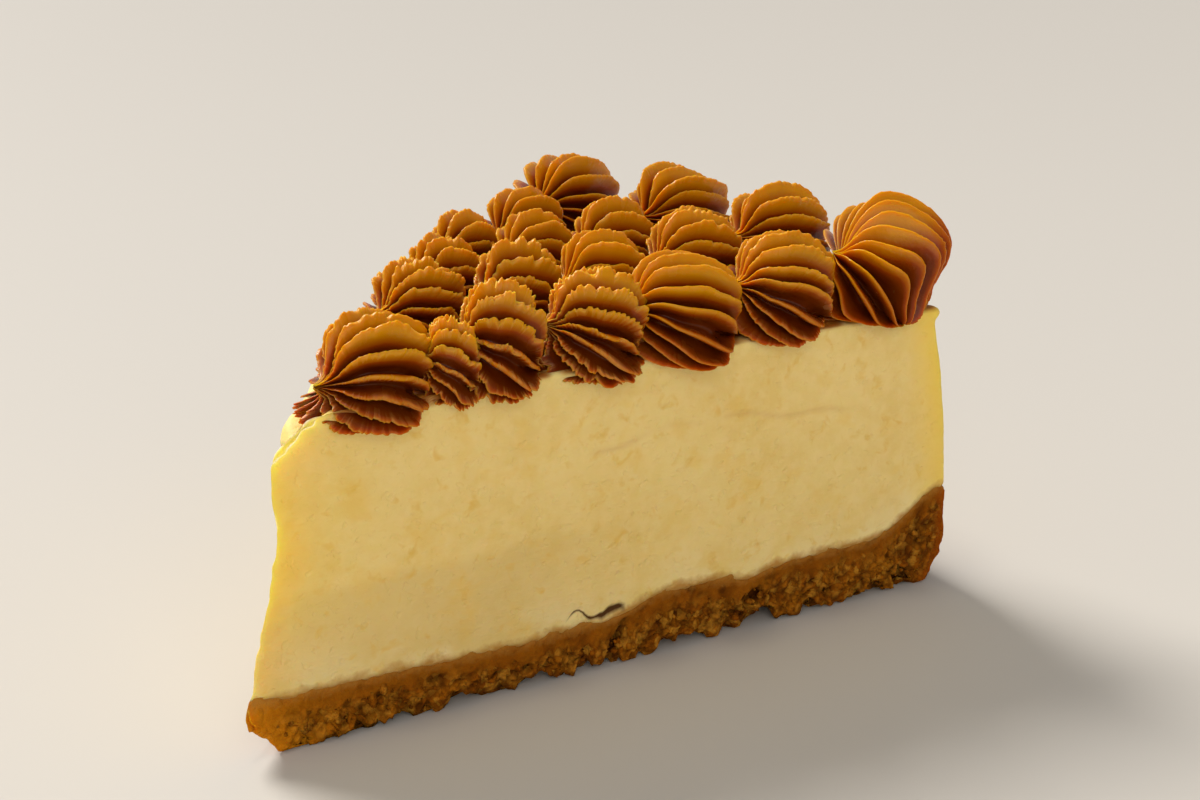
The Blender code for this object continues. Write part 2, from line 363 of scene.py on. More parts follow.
# %% Rim, crack, foot, burr and flake
rim_side = smooth_step(share, 0.97, 1.0) * wall
relief += 0.16 * rim_side * lumps(points, 2.6 * MM, 31)
arches = 0.8 + 2.1 * bell(along, 48.0, 1.7) + 0.8 * bell(along, 54.2, 2.0)
arches += 0.25 * swells(points, 1.3 * MM, 33) + 0.15 * swells(points, 0.6 * MM, 34)
crack_reach = smooth_step(along, 46.3, 47.2) * (1 - smooth_step(along, 55.4, 56.4)) * front
crack = bell(above_base, arches, 0.36) * crack_reach
relief -= 0.30 * crack
tucked = smooth_step(0.4 - above_base, 0, 2.2) * wall
relief -= (0.15 + 0.85 * smooth_step(along, 2, 7)) * tucked
hollow = smooth_step(height, 38, 44) * 4 * across * (1 - across) * (1 - smooth_step(along, 0, 6))
relief -= 1.3 * hollow * wall
burr = bell(height, 17.5, 1.3) * (1 - smooth_step(along, 0.2, 2.2)) * wall
relief += 0.9 * burr * (0.6 + 0.6 * swells(points, 1.3 * MM, 25))
flake = bell(height, 45.9, 0.9) * smooth_step(share, 0.94, 0.985) * wall
flake *= smooth_step(0.16 - across, 0, 0.12) * (0.65 + 0.6 * swells(points, 2.0 * MM, 27))
relief += 1.1 * flake
print("filling relief", relief.min().round(2), "to", relief.max().round(2), "mm")

# %% [markdown]
# The relief moves each point along its normal. The knife also dragged the tip's edge along the cake,
# inwards at the foot and low down, and outwards higher up, so points near it move in x as well.

# %% Filling moved by its relief
points = points + normals * (relief * MM)[..., None]
points[..., 0] += 2.6 * MM * tucked * (1 - smooth_step(along, 0.5, 6))
tip_drag = 1.8 * smooth_step(1.0 - above_base, 0, 1.4)
tip_drag = tip_drag + 0.8 * bell(height, 20, 5) - 1.1 * bell(height, 35, 4)
points[..., 0] += tip_drag * MM * wall * (1 - smooth_step(along, 0.5, 8))
print("tip dragged by", tip_drag.min().round(2), "to", tip_drag.max().round(2), "mm")

# %% [markdown]
# Nine numbers go along with the skin for its material. They say where the crease is, where the lower
# left is darker, how far a point is from the crack's middle and whether the crack reaches it, how high
# it is above the base, how near it is to the tip, yellow with a painted glow through it, to the baked
# rim and to the tip's far edge with its painted rim light, and how much caramel soaked in, which also
# paints shade under the shells. Caramel lies wherever a shell is near, so each point looks for its
# closest shell. Under the first shell it soaks and shades lower, because that one hangs over the edge.

# %% Filling marks and mesh
flat = points[..., None, :2] - shell_middles
closeness = 1 - np.linalg.norm(flat, axis=-1) / (shell_plan[:, 2] * MM)
# Caramel soaked into the top near the shells; the same mark paints shade just under them.
soak_and_shade = smooth_step(closeness.max(axis=-1) + 0.15 * swells(points, 3 * MM, 41), -0.08, 0.12)
soak_and_shade_foot = 46.2 - 1.1 * (1 - smooth_step(along, 20, 26))
low_left_dark_top = 22.5 + 1.2 * swells(points, 9 * MM, 15)
crack_width = 0.68 + 0.62 * smooth_step(along, 49.5, 53.5)
far_side = smooth_step(across, 0.45, 0.95) * (1 - smooth_step(along, 0.0, 3.0))
marks = {
    "crease": crease,
    "low_left_dark": smooth_step(low_left_dark_top - height, -1.2, 1.8) * front * (1 - smooth_step(along, 34, 62)),
    "crack_gap": np.clip((above_base - arches) / crack_width, -3, 3),
    "crack_reach": crack_reach * (cover == 0),
    "above_base": above_base,
    "tip_glow": np.exp(-along / 5.5) * (0.35 + 0.65 * smooth_step(height, 14, 24)),
    "rim_skin": np.maximum(smooth_step(share, 0.91, 1.0) ** 1.5, np.clip(2.5 * flake, 0, 1)),
    "tip_rim": far_side * smooth_step(height, 3, 12),
    "caramel_soak_and_shade": soak_and_shade * smooth_step(height, soak_and_shade_foot, soak_and_shade_foot + 0.7),
}
filling = skin_object("cheesecake_filling_skin", points, marks)
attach(filling, "root")
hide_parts("cheesecake_filling")

# %% [markdown]
# ## The crumb base
# The base is crushed biscuit pressed together with butter. Under the filling it packed into a dense,
# smooth band. Lower down the knife tore whole crumbs out, which leaves lumps with creases and holes,
# and the finish paints shade into them. Against the tin it is pressed smooth. Cell noise in two sizes
# gives the lumps, and lattice noise in two finer ones the grit. The cells are read at points that soft
# noise has pushed about, or the lumps would look like packed balls.

# %% Base wedge and its crags
CRAG_SIZE, CRUMB_SIZE = 3.0 * MM, 1.5 * MM
CRAG_SEED, CRUMB_SEED = 51, 57
points, share, across, up, cover = wedge_skin(
    0.33 * MM,
    lambda s: 0 * s,
    lambda s: base_top(s) + 1.1 * MM,
    wall_rings=34,
    cap_rings=9,
    rounds=2,
)
normals = outward(points)
cut = cut_face(share, across, cover)
along = share * CUT_SPAN
below_top = (base_top(share) - points[..., 2]) / MM
warp = np.stack([swells(points, 2.3 * MM, seed) for seed in (101, 102, 103)], axis=-1) * 0.9 * MM
crags = 1.0 * (lumps(points + warp, CRAG_SIZE, CRAG_SEED) - 0.45)
crags = crags + 0.62 * (lumps(points + warp, CRUMB_SIZE, CRUMB_SEED) - 0.42)
crags += 0.34 * swells(points, 0.8 * MM, 61) + 0.20 * swells(points, 0.45 * MM, 62)
holes = smooth_step(-swells(points, 2.6 * MM, 66) - 0.25 * lumps(points, 1.3 * MM, 67), 0.30, 0.62)
torn_part = smooth_step(below_top + 1.3 * swells(points, 3.2 * MM, 69), 1.6, 4.2)
print("crags from", crags.min().round(2), "to", crags.max().round(2), "mm")

# %% [markdown]
# Below the filling's crack the packed band has split from top to bottom, leaning a little. Cream was
# rubbed into the band's top edge in a ragged line. The tip is calmer than the rest, as crumbs there
# were pressed by the blade. All of it is relief along the normals.

# %% Split, smear and relief
crumbly = (0.16 + 0.84 * torn_part) * (0.16 + 0.84 * cut)
from_split = along - 56.6 + 0.42 * below_top - 0.5 * swells(points, 1.6 * MM, 74)
split = bell(from_split, 0, 0.40 + 0.10 * np.clip(below_top, 0, 9)) * (across < 1e-6)
split = split * smooth_step(below_top, 0.2, 1.6) * (cover == 0)
tip_calm = smooth_step(along, 0.5, 5)
edge = smooth_step(1 - cover, 0.90, 1.0)
relief = (crags * crumbly - 1.5 * holes * torn_part * cut) * (0.42 + 0.58 * tip_calm) * edge
relief += 0.35 * swells(points, 16 * MM, 5) * edge
fuzz = 0.9 * swells(points, 2.4 * MM, 72) + 0.6 * swells(points, 0.9 * MM, 73)
smeared = smooth_step(0.35 + fuzz - below_top, 0, 1.0)
relief -= 0.75 * smeared * edge * (0.3 + 0.7 * tip_calm)
relief -= (0.6 + 1.4 * smooth_step(below_top, 1.8, 3.2)) * split * (1 - smeared)
points = points + normals * (relief * MM)[..., None]
print("base relief", relief.min().round(2), "to", relief.max().round(2), "mm")

# %% [markdown]
# The bottom edge is ragged: crumbs fell out of the foot of the wall, and what is left overhangs. So
# the lowest points near the edge are lifted where cell noise has a crease or slow noise is high.

# %% Ragged foot and base mesh
inset = (points[..., 0] - TIP_X) * np.sin(HALF_ANGLE) - np.abs(points[..., 1]) * np.cos(HALF_ANGLE)
foot_part = smooth_step(1 - points[..., 2] / (5.0 * MM), 0, 1) * (1 - smooth_step(inset, 0.8 * MM, 6 * MM))
foot_part = foot_part * (0.1 + 0.9 * tip_calm) * (1 - 0.85 * smooth_step(share, 0.97, 0.99))
clumps = lumps((points + warp) * (1, 1, 0.4), 2.5 * MM, 71)
lift = 1.7 * smooth_step(0.62 - clumps, 0, 0.40)
lift += 1.5 * smooth_step(swells(points * (1, 1, 0.3), 5.0 * MM, 8), 0.30, 0.62)
lift += 0.6 * (1 - lumps(points + warp, CRUMB_SIZE, CRUMB_SEED)) ** 2 + 2.6 * split
points[..., 2] += foot_part * np.clip(lift, 0, 2.8) * MM
points[..., 2] = np.maximum(points[..., 2], 0)
# Low crags, holes and the split get low crag numbers, which the finish paints dark as shade.
marks = {
    "packed_band": (1 - torn_part) * (1 - 0.5 * holes) * (1 - split),
    "crag": np.clip(0.5 + 0.7 * crags - 0.8 * holes - 1.0 * split, 0, 1),
    "tin_side": smooth_step(share, 0.975, 0.995),
    "below_cream": below_top,
    "tip_lit": np.exp(-along / 6.0),
}
crumb_base = skin_object("crumb_base_skin", points, marks)
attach(crumb_base, "root")
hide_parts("crumb_base")

# %% [markdown]
# ## Loose crumbs
# Single crumbs cling to the torn faces. Each is a ball of 32 triangles, knocked out of round and
# half sunk in the face. Most are tiny and a few are large, which a gamma draw gives.

# %% Crumb ball and crumb places
CRUMBS = 620


def crumb_ball():
    """Points and triangles of a small round ball: an octahedron with each face cut in four.

    The middle of every edge is pushed out to the unit sphere, and each face becomes four between its
    corners and the middles of its edges.
    """
    corners = np.concatenate([np.eye(3), -np.eye(3)])
    faces = [(0, 1, 2), (1, 3, 2), (3, 4, 2), (4, 0, 2), (1, 0, 5), (3, 1, 5), (4, 3, 5), (0, 4, 5)]
    faces = np.array(faces)
    ends = np.sort(np.concatenate([faces[:, [0, 1]], faces[:, [1, 2]], faces[:, [2, 0]]]), axis=1)
    edges, which = np.unique(ends, axis=0, return_inverse=True)
    middles = corners[edges].mean(axis=1)
    middles /= np.linalg.norm(middles, axis=1, keepdims=True)
    ab, bc, ca = len(corners) + which.reshape(3, -1)
    a, b, c = faces.T
    quarters = [(a, ab, ca), (ab, b, bc), (ca, bc, c), (ab, bc, ca)]
    return np.concatenate([corners, middles]), np.concatenate([np.stack(q, -1) for q in quarters])


ball, ball_faces = crumb_ball()
rng = np.random.default_rng(7)
crumb_side = rng.choice([0.0, 1.0], CRUMBS, p=[0.52, 0.48])
crumb_share = rng.uniform(0.015, 0.985, CRUMBS)
crumb_size = rng.gamma(2.0, 0.15, CRUMBS).clip(0.16, 0.8)
crumb_height = 2.2 + (base_top(crumb_share) / MM - 4.4) * rng.beta(1.1, 1.5, CRUMBS)
print(CRUMBS, "crumbs of", crumb_size.min().round(2), "to", crumb_size.max().round(2), "mm half size")

# %% [markdown]
# One array holds every crumb at once: the ball's points are stretched by each crumb's three sizes,
# spun about the upright, moved to their place and nudged by noise. A crumb sticks out further where
# the base has a crag, so the same cell noise is read for its place.

# %% Loose crumb mesh
centres = wedge_places(crumb_share, crumb_side, crumb_height * MM)
side = 2 * crumb_side - 1
face_normal = np.stack([-np.sin(HALF_ANGLE) * abs(side), np.cos(HALF_ANGLE) * side, 0 * side], -1)
poke = 0.7 * (lumps(centres, CRAG_SIZE, CRAG_SEED) - 0.45) + rng.uniform(-0.5, 0.1, CRUMBS) * crumb_size
centres = centres + face_normal * (poke * MM)[:, None]
crumbs = ball[None] * (rng.uniform(0.7, 1.25, (CRUMBS, 1, 3)) * crumb_size[:, None, None] * MM)
spin = rng.uniform(0, 2 * np.pi, CRUMBS)[:, None]
turned_x = crumbs[..., 0] * np.cos(spin) - crumbs[..., 1] * np.sin(spin)
turned_y = crumbs[..., 0] * np.sin(spin) + crumbs[..., 1] * np.cos(spin)
crumbs = np.stack([turned_x, turned_y, crumbs[..., 2]], axis=-1) + centres[:, None]
nudge = 1 + 0.6 * swells(crumbs, 0.45 * MM, 81)
crumbs = centres[:, None] + (crumbs - centres[:, None]) * nudge[..., None]
crumbs[..., 2] = np.maximum(crumbs[..., 2], 0)
faces = (ball_faces[None] + np.arange(CRUMBS)[:, None, None] * len(ball)).reshape(-1, 3)
tone = np.repeat(rng.uniform(0, 1, CRUMBS), len(ball))
marks = {"crag": 0.4 + 0.5 * tone, "packed_band": 0 * tone, "tin_side": 0 * tone, "below_cream": 5 + 0 * tone}
loose_crumbs = mesh_object("loose_crumbs", crumbs.reshape(-1, 3), faces, marks)
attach(loose_crumbs, "root")

# %% [markdown]
# ## A piped shell
# Look at one from its narrow end: thin fins fan out from a point half way up, pass over the top and
# the sides, turn a tight corner and run back to the foot. So each fin lies in a plane, and all those
# planes are hinged on one line, from the tail to the foot. I take a ball, measure it from that hinge
# line, and let the distance swing between crest and groove as I go round. A sphere with a
# displacement modifier would blur such thin plates. Lengths here are in half widths of the shell.

# %% Hinge line
TAIL_LYING, TAIL_STANDING = np.array([[-0.77, 0.04, 0.22], [-0.57, 0.04, 0.24]])
FOOT_LYING, FOOT_STANDING = np.array([[0.62, -0.25, -0.56], [-0.13, -0.48, -0.66]])
CORNER_LYING, CORNER_STANDING = np.radians(114), np.radians(92)


def hinge_frame(standing):
    """A hinge line: its middle, half length, directions along, out and side, and the corner's swing.

    The line runs from the foot to the tail, each mixed from its lying and its standing place. Out is
    the upright made square to the line, and side is square to both.
    """
    tail = TAIL_LYING * (1 - standing) + TAIL_STANDING * standing
    foot = FOOT_LYING * (1 - standing) + FOOT_STANDING * standing
    corner_at = CORNER_LYING * (1 - standing) + CORNER_STANDING * standing
    half = np.linalg.norm(tail - foot) / 2
    way = (tail - foot) / (2 * half)
    out = np.cross(np.cross(way, (0.0, 0.0, 1.0)), way)
    out = out / np.linalg.norm(out)
    return (tail + foot) / 2, half, way, out, np.cross(way, out), corner_at


print("hinge half length", round(hinge_frame(0.0)[1], 3), "half widths")

# %% [markdown]
# Fins are plates, so the crest is narrow and the groove is wide and deep. The grid's columns are
# therefore set close together at each crest and far apart in the groove, which draws sharp edges
# with few points.

# %% Fin angles
STOPS_PER_FIN = 14
CROWDED_AT = 0.87


def fin_angles(fins, wander, crowd):
    """Angles round the hinge, (rings, fins * stops), and each stop's distance q from its crest.

    Crests stand at even angles a plus their own wander, less crowd sin(a - 0.87), which draws them
    together at one side. Grooves lie half way between two crests. The stops between them crowd
    towards the crest: q = x|x|^0.6.
    """
    crest = 2 * np.pi * np.arange(fins) / fins + wander
    crest = crest - crowd * np.sin(crest - CROWDED_AT)
    after = np.concatenate([crest[:, 1:], crest[:, :1] + 2 * np.pi], axis=1)
    before = np.concatenate([crest[:, -1:] - 2 * np.pi, crest[:, :-1]], axis=1)
    x = np.linspace(-1, 1, STOPS_PER_FIN, endpoint=False)
    q = x * np.abs(x) ** 0.6
    half_gap = np.where(q[:, None, None] > 0, after - crest, crest - before) / 2
    angle = crest + q[:, None, None] * half_gap
    q = q[:, None, None] + 0 * angle
    return [np.moveaxis(a, 0, -1).reshape(len(wander), -1) for a in (angle, np.abs(q))]


print("columns of a shell with 18 fins:", fin_angles(18, np.zeros((1, 18)), 0.0)[0].shape[1])

# %% [markdown]
# How far a crest stands off the hinge is a mix of two outlines. A ball gives the round shoulder. Two
# straight lines, from the tail to a corner and from there to the foot, give the tight turn.

# %% Crest distance


def ball_reach(ray, middle):
    """Distance along each ray from the point m to the unit ball: sqrt(l^2 + 1 - m^2) - l, l = ray . m."""
    lean = ray @ middle
    return np.sqrt(lean**2 + 1 - middle @ middle) - lean


def shell_rays(swing, turn, frame_of_hinge):
    """Unit directions from the hinge's middle: swing from the tail (0) to the foot (pi), turn round it."""
    way, out, side = frame_of_hinge[2:5]
    away = np.cos(turn)[..., None] * out + np.sin(turn)[..., None] * side
    return np.sin(swing)[..., None] * away + np.cos(swing)[..., None] * way


def shell_reach(swing, turn, frame_of_hinge, standing):
    """Distance from the hinge's middle to a fin's crest: ball * share + lines * (1 - share).

    The lines are 1 / (sin s / corner + |slant| / half length), with a rounded |slant|. They lead out
    of the tail and back into the foot, and the ball rounds the shoulder. On a standing shell only the
    upper fins are round, and the others turn a tight corner.
    """
    middle, half, corner_at = frame_of_hinge[0], frame_of_hinge[1], frame_of_hinge[5]
    to_corner = shell_rays(corner_at + 0 * turn, turn, frame_of_hinge)
    corner = ball_reach(to_corner, middle) * np.sin(corner_at)
    slant = np.cos(swing) - np.sin(swing) / np.tan(corner_at)
    lines = 1 / (np.sin(swing) / corner + np.sqrt(slant**2 + 0.010 + 0.03 * standing) / half)
    ball = ball_reach(shell_rays(swing, turn, frame_of_hinge), middle)
    lying_round = 0.85 - 0.40 * np.sin(turn) ** 2
    upper = smooth_step(np.cos(turn - 1.1), 0.35, 0.95)
    round_share = lying_round * (1 - standing) + (0.34 + 0.62 * upper) * standing
    round_share = round_share * smooth_step(swing, 0, 0.9)
    round_share = round_share * (1 - 0.6 * smooth_step(swing, corner_at, corner_at + 0.6))
    swell = (1 + 0.06 * np.sin(swing) ** 2) * (1 + (0.14 - 0.16 * upper) * standing)
    return swell * (ball * round_share + lines * (1 - round_share))


middle_swing, top_turn = np.array([1.6]), np.array([0.0])
crest_height = shell_reach(middle_swing, top_turn, hinge_frame(0.0), 0.0)[0]
print("a top crest stands", crest_height.round(2), "half widths off the hinge")

# %% [markdown]
# Then come the accidents that make piping look piped. Each fin is a little taller or shorter than
# the next and wanders sideways. Its edge carries a fine saw-tooth from the nozzle, and where the
# caramel was stiff, bites are missing from it.

# %% Wander and tears


def fin_wander(draw, fins, swing):
    """Each crest's angle off its even place: its own shift, a slow wave and a quick one along it."""
    gap = 2 * np.pi / fins
    phase = draw.uniform(0, 2 * np.pi, (2, fins))
    wander = gap * 0.12 * draw.uniform(-1, 1, fins) + gap * 0.10 * np.sin(2.2 * swing + phase[0])
    return wander + gap * 0.05 * np.sin(7 * swing + phase[1])


def fin_tears(torn, swing, spot):
    """Depth torn off an edge and how torn it looks: broad bites, and notches where noise is near 0."""
    bites = np.clip(swells(spot * (1.5, 1, 1), 1.0, 5) + 0.45 * swells(spot * (4.5, 1, 1), 1.0, 6), 0, 1)
    notches = np.clip(1 - 2.6 * np.abs(swells(spot * (5, 1, 1), 1.0, 9)), 0, 1)
    depth = torn * (0.17 * bites + 0.08 * notches) * np.sin(swing) ** 0.5
    return depth, torn * (bites + notches)


wandered = np.degrees(np.abs(fin_wander(np.random.default_rng(1), 18, np.zeros((1, 1)))))
print("crests wander by up to", wandered.max().round(1), "degrees")

# %% [markdown]
# Soft caramel settles under its own weight: low fins spread and flatten, and the tail is drawn out.
# The first shell's tail hangs over the tip. Light is painted in too: a high crest is thin and gets a
# painted golden glow, a low one a browner one, a groove painted dark shade, and beside the tail where
# the nozzle left it a pale painted sheen.

# %% Settling and light
BULGE_HEIGHT = 0.62
TAIL_STRETCH = 1.18
TAIL_DROP = 0.26


def settle(points, number):
    """Below the middle x and y grow by up to 0.42 and z becomes -b tanh(-z / b). The tail is drawn out."""
    points[..., :2] *= 1 + 0.42 * smooth_step(-points[..., 2:], 0.0, 0.9)
    slumped = -BULGE_HEIGHT * np.tanh(-points[..., 2] / BULGE_HEIGHT)
    points[..., 2] = np.where(points[..., 2] < 0, slumped, points[..., 2])
    points[..., 0] *= np.where(points[..., 0] < 0, TAIL_STRETCH, 1)
    tail_part = smooth_step(-points[..., 0], 0.0, 1.1) * smooth_step(points[..., 2], -0.45, 0.15)
    points[..., 2] -= TAIL_DROP * (number == 0) * tail_part
    return points


def fin_light(points, q, swing, standing):
    """Painted glow of a point: high crests fully, low ones a little by thinness, grooves none (shade)."""
    shade = np.clip(0.82 * points[..., 0] - 0.57 * points[..., 1] - 0.1, 0, 1)
    high = smooth_step(points[..., 2] - 0.7 * standing * shade, -0.25, 0.75)
    thin = (1 - smooth_step(q, 0.0, 0.35)) * np.sin(swing) ** 0.3
    edge_lit = 1 - smooth_step(q / (0.62 + 0.38 * high), 0.10, 0.85) ** 0.8
    glow = high * (0.02 + 0.98 * edge_lit) * (0.4 + 0.6 * np.sin(swing) ** 0.4)
    return glow + (1 - high) * (0.07 + 0.42 * thin)


print("one half width down settles to", settle(np.array([[[0.5, 0.0, -1.0]]]), 1)[0, 0].round(2))

# %% [markdown]
# Now one shell can be put together. Wider shells get more fins, because the nozzle's teeth make
# ridges of much the same width.

# %% One shell
FIN_DEPTH = 0.42


def shell_points(number, rings=108):
    """One shell in half widths: points (rings, columns, 3), and the painted glow, tears and painted sheen.

    The reach along a ray is the crest's distance times (fin height - tears - groove depth).
    """
    torn, standing = shell_plan[number, 5:7]
    fins = int(12 + 0.6 * shell_plan[number, 2] + 2 * standing)
    draw = np.random.default_rng(100 + number)
    swing = np.linspace(0, np.pi, rings)[:, None]
    turn, q = fin_angles(fins, fin_wander(draw, fins, swing), 0.30 * standing)
    swing = swing + 0 * turn
    crest_share = 1 - smooth_step(q, 0.10, 0.85) ** 0.8
    edge_share = 1 - smooth_step(q, 0.0, 0.45)
    fin = np.repeat(np.arange(fins), STOPS_PER_FIN)[None]
    spot = np.stack([swing * 4.2, fin * 7.3 + 0 * swing, 0 * turn + number * 3.1], -1)
    saw = 0.012 * swells(spot * (9, 1, 1), 1.0, 3)
    tear, torn_share = fin_tears(torn, swing, spot)
    tall = 1 + 0.05 * draw.uniform(-1, 1, fins)[fin] + 0.025 * swells(spot * (0.5, 1, 1), 1.0, 8)
    depth = (FIN_DEPTH + 0.08 * standing) * np.sin(swing) ** 0.5
    depth = depth * (0.9 + 0.2 * draw.uniform(0, 1, fins)[fin])
    turn = turn + 2 * np.pi / fins * 0.22 * torn * edge_share * swells(spot * (1.2, 1, 1), 1.0, 12)
    hinge = hinge_frame(standing)
    scale = tall - (tear - saw) * edge_share - depth * (1 - crest_share)
    reach = shell_reach(swing, turn, hinge, standing) * scale
    points = settle(hinge[0] + shell_rays(swing, turn, hinge) * reach[..., None], number)
    # Painted sheen beside the tail, where the fins face up and back toward the window.
    painted_sheen = smooth_step(np.sin(turn - 0.6 * standing), 0.35, 0.95) * (1 - smooth_step(swing, 0.25, 0.72))
    return points, fin_light(points, q, swing, standing), torn_share * edge_share, painted_sheen


points, glow, torn_share, painted_sheen = shell_points(6)
print("a shell in half widths:", points.min((0, 1)).round(2), "to", points.max((0, 1)).round(2))

# %% [markdown]
# All nineteen shells come from that one function. Each is scaled to its half width and height,
# turned so that its tail points to the middle of the cake, and set down on the filling. What lies
# beyond a cut face has nothing under it, so it hangs down a little.

# %% All the shells
MOST_DROOP = 1.7 * MM


def droop(points):
    """How far caramel hangs down: it grows past a cut face and fades with height above the filling."""
    x, y, z = points[..., 0] - TIP_X, np.abs(points[..., 1]), points[..., 2] - FILLING_TOP
    beyond = y * np.cos(HALF_ANGLE) - x * np.sin(HALF_ANGLE)
    low = 1 - smooth_step(z, 0, 8 * MM)
    return MOST_DROOP * smooth_step(beyond, -1.5 * MM, 4 * MM) * low


shells = []
for number in range(len(SHELLS)):
    half_width, tall, sag = shell_plan[number, 2:5]
    points, glow, torn_share, painted_sheen = shell_points(number)
    lengthwise, sideways = points[..., 0] * half_width, points[..., 1] * half_width
    upright = (points[..., 2] + BULGE_HEIGHT) * tall / (1 + BULGE_HEIGHT)
    c, s = np.cos(shell_bearings[number]), np.sin(shell_bearings[number])
    placed = np.stack([c * lengthwise - s * sideways, s * lengthwise + c * sideways, upright], -1)
    placed = placed * MM
    placed[..., :2] += shell_middles[number]
    placed[..., 2] += FILLING_TOP - sag * MM
    placed[..., 2] -= droop(placed)
    shell = skin_object(
        f"caramel_shell_{number + 1:02d}_fins",
        placed,
        {"fin_glow": glow, "fin_torn": torn_share, "tail_painted_sheen": painted_sheen},
    )
    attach(shell, "root")
    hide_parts(f"caramel_shell_{number + 1:02d}")
    shells.append(shell)

# %% [markdown]
# Between the shells the filling is covered too, because soft caramel ran together there. It is a thin
# bed with the wedge's outline, a little smaller, thicker close to a shell and thin in the gaps. It
# dives into the filling before it reaches a cut edge, so no strip of it shows on the cut faces. Its
# colour is painted dark shade between the shells, with pale patches of painted sheen.

# %% Caramel bed
BED_MIDDLE = np.array([12 * MM, 0.0])
BED_SHARE = 0.95
points, share, across, up, cover = wedge_skin(
    0.7 * MM,
    lambda s: FILLING_TOP - 0.5 * MM + 0 * s,
    lambda s: FILLING_TOP - 0.2 * MM + 0 * s,
    wall_rings=7,
    cap_rings=60,
    rounds=2,
)
points[..., :2] = BED_MIDDLE + (points[..., :2] - BED_MIDDLE) * BED_SHARE
away = np.linalg.norm(points[..., None, :2] - shell_middles, axis=-1) / (shell_plan[:, 2] * MM)
near = 1 - away.min(axis=-1) + 0.18 * swells(points, 4 * MM, 91)
thick = 0.4 + 0.9 * smooth_step(near, -0.40, 0.35) + 0.25 * swells(points, 2.5 * MM, 92)
points[..., 2] += up * thick * MM * smooth_step(near, -0.85, -0.60)
inside = smooth_step(cover, 0.0, 0.12)
points[..., 2] -= (1 - inside) * up * (thick + 0.3) * MM
# Painted sheen in pale patches on the bed; its low glow number paints the rest as dark shade.
pale = smooth_step(swells(points, 7 * MM, 93), -0.1, 0.5) * smooth_step(cover, 0.1, 0.25)
caramel_bed = skin_object("caramel_bed", points, {"fin_glow": 0.06 + 0.3 * pale, "tail_painted_sheen": pale})
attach(caramel_bed, "root")
shells.append(caramel_bed)

# %% [markdown]
# ## Materials
# Every finish is a Principled shader with a colour built from noise and from the numbers that ride
# on the skins. A few small helpers keep the node building readable. These start a material, add a
# node and read a number from the mesh.

# %% Node helpers


def start_material(name, roughness, **settings):
    """A new material with its Principled shader set: settings are socket names with _ for spaces."""
    made = bpy.data.materials.new(name)
    made.use_nodes = True
    shader = made.node_tree.nodes["Principled BSDF"]
    shader.inputs["Roughness"].default_value = roughness
    for key, value in settings.items():
        shader.inputs[key.replace("_", " ")].default_value = value
    return made, made.node_tree, shader


def add(tree, kind, inputs=None, **settings):
    """A node of that kind; inputs maps a socket to a value or to another node's output."""
    node = tree.nodes.new(kind)
    for key, value in settings.items():
        setattr(node, key, value)
    for key, value in (inputs or {}).items():
        if isinstance(value, bpy.types.NodeSocket):
            tree.links.new(value, node.inputs[key])
        else:
            node.inputs[key].default_value = value
    return node


def number_from_mesh(tree, name):
    """The number of that name that rides on the mesh, one for each point."""
    return add(tree, "ShaderNodeAttribute", attribute_name=name).outputs["Fac"]


def object_place(tree):
    """Each point's own place in its object, in metres, which stays put when the object moves."""
    return add(tree, "ShaderNodeTexCoord").outputs["Object"]


# %% [markdown]
# Colours are layered like paint: a share from 0 to 1 says how much of the next tone covers what is
# there. That share is a noise or a mesh number, stretched and clipped.

# %% Noise, share, blend and bump


def noise(tree, place, scale, detail=3.0, roughness=0.55, distortion=0.0):
    """Cloudy noise about 0.5: scale patches to the metre, detail finer layers, each roughness as strong."""
    inputs = {"Vector": place, "Scale": scale, "Detail": detail}
    inputs.update({"Roughness": roughness, "Distortion": distortion})
    return add(tree, "ShaderNodeTexNoise", inputs).outputs["Fac"]


def spread(tree, value, low, high, to_low=0.0, to_high=1.0):
    """Stretches low..high of a value to to_low..to_high, and clips it there."""
    inputs = {"Value": value, "From Min": low, "From Max": high, "To Min": to_low, "To Max": to_high}
    return add(tree, "ShaderNodeMapRange", inputs).outputs["Result"]


def mark(tree, name, strength):
    """A mesh number from 0 to 1, made a share from 0 to strength."""
    return spread(tree, number_from_mesh(tree, name), 0, 1, 0, strength)


def blend(tree, share, first, second):
    """The colour first where share is 0 and second where it is 1."""
    node = add(tree, "ShaderNodeMix", {"Factor": share}, data_type="RGBA")
    for key, value in (("A", first), ("B", second)):
        socket = next(s for s in node.inputs if s.name == key and s.type == "RGBA")
        if isinstance(value, bpy.types.NodeSocket):
            tree.links.new(value, socket)
        else:
            socket.default_value = (*value, 1)
    return next(s for s in node.outputs if s.type == "RGBA")


def maths(tree, operation, first, second):
    """One sum on two values, such as MULTIPLY or ADD; ABSOLUTE takes the first alone."""
    return add(tree, "ShaderNodeMath", {0: first, 1: second}, operation=operation).outputs[0]


def bump(tree, shader, height, distance, strength=1.0):
    """Tilts the shader's normal down the slope of height, which stands for distance in metres."""
    inputs = {"Height": height, "Distance": distance, "Strength": strength}
    made = add(tree, "ShaderNodeBump", inputs)
    tree.links.new(made.outputs["Normal"], shader.inputs["Normal"])


def give(pieces, finish):
    """Puts a finish on pieces, and prints how many nodes it took."""
    for piece in pieces:
        piece.data.materials.append(finish)
    print(finish.name, "nodes:", len(finish.node_tree.nodes), "pieces:", len(pieces))


print("helpers ready")
